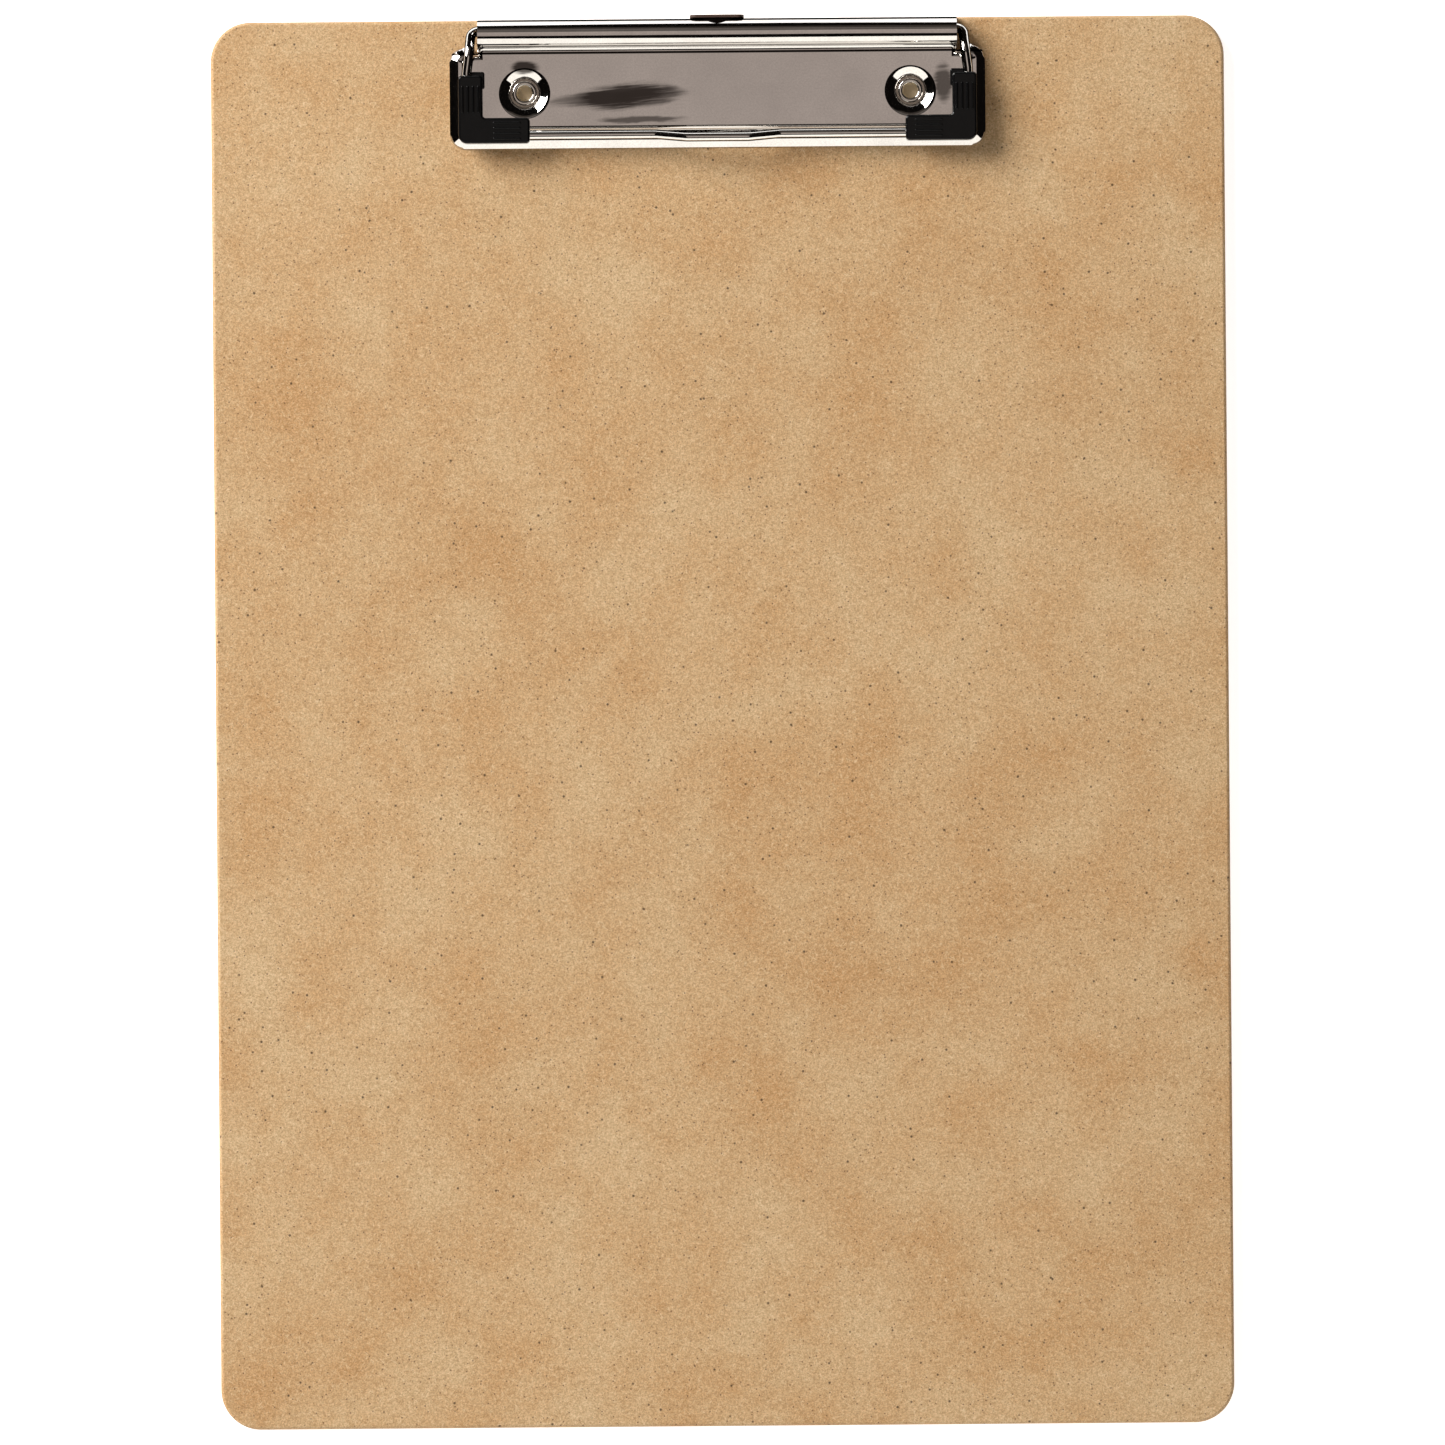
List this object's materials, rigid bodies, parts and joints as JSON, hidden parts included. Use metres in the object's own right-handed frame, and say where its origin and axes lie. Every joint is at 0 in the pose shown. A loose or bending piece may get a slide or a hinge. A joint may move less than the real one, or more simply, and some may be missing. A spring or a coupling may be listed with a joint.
{
  "type": "clipboard",
  "caption": "Letter-size hardboard clipboard with a low-profile sprung wire clip, rubber corner grips and a sliding hanging tab.",
  "frame": {"origin": "centre of the board's back face", "axes": "+X to the right, +Y along the board towards the clip, +Z out of the writing face"},
  "size_m": [0.2286, 0.3181, 0.01],
  "materials": {
    "hardboard": "smooth sanded hardboard, matt, with fine fibres",
    "plated_sheet": "bright nickel plate on stamped steel",
    "plated_wire": "bright nickel plate on spring wire",
    "grip_rubber": "glossy black moulded rubber",
    "rivet_steel": "nickel plate, satin in the bore",
    "tab_steel": "dark brown lacquer on sheet steel"
  },
  "bodies": {
    "clipboard": {"board": "hardboard", "clip_base_plate": "plated_sheet", "rivet_left": "rivet_steel", "rivet_right": "rivet_steel", "spring_tail_left": "plated_wire", "spring_tail_right": "plated_wire"},
    "bail": {"wire_bail": "plated_wire", "corner_grip_left": "grip_rubber", "corner_grip_right": "grip_rubber"},
    "tab": {"hanging_tab": "tab_steel"}
  },
  "joints": [
    {"name": "bail_hinge", "type": "hinge", "parent": "clipboard", "child": "bail", "pos_m": [0, 0.1562, 0.0051], "axis": [-1, 0, 0], "range_deg": [0, 60], "stiffness_Nm_per_rad": 0.3, "springref_deg": -34.38},
    {"name": "tab_slide", "type": "slide", "parent": "clipboard", "child": "tab", "axis": [0, 1, 0], "range_m": [0, 0.0134]}
  ]
}
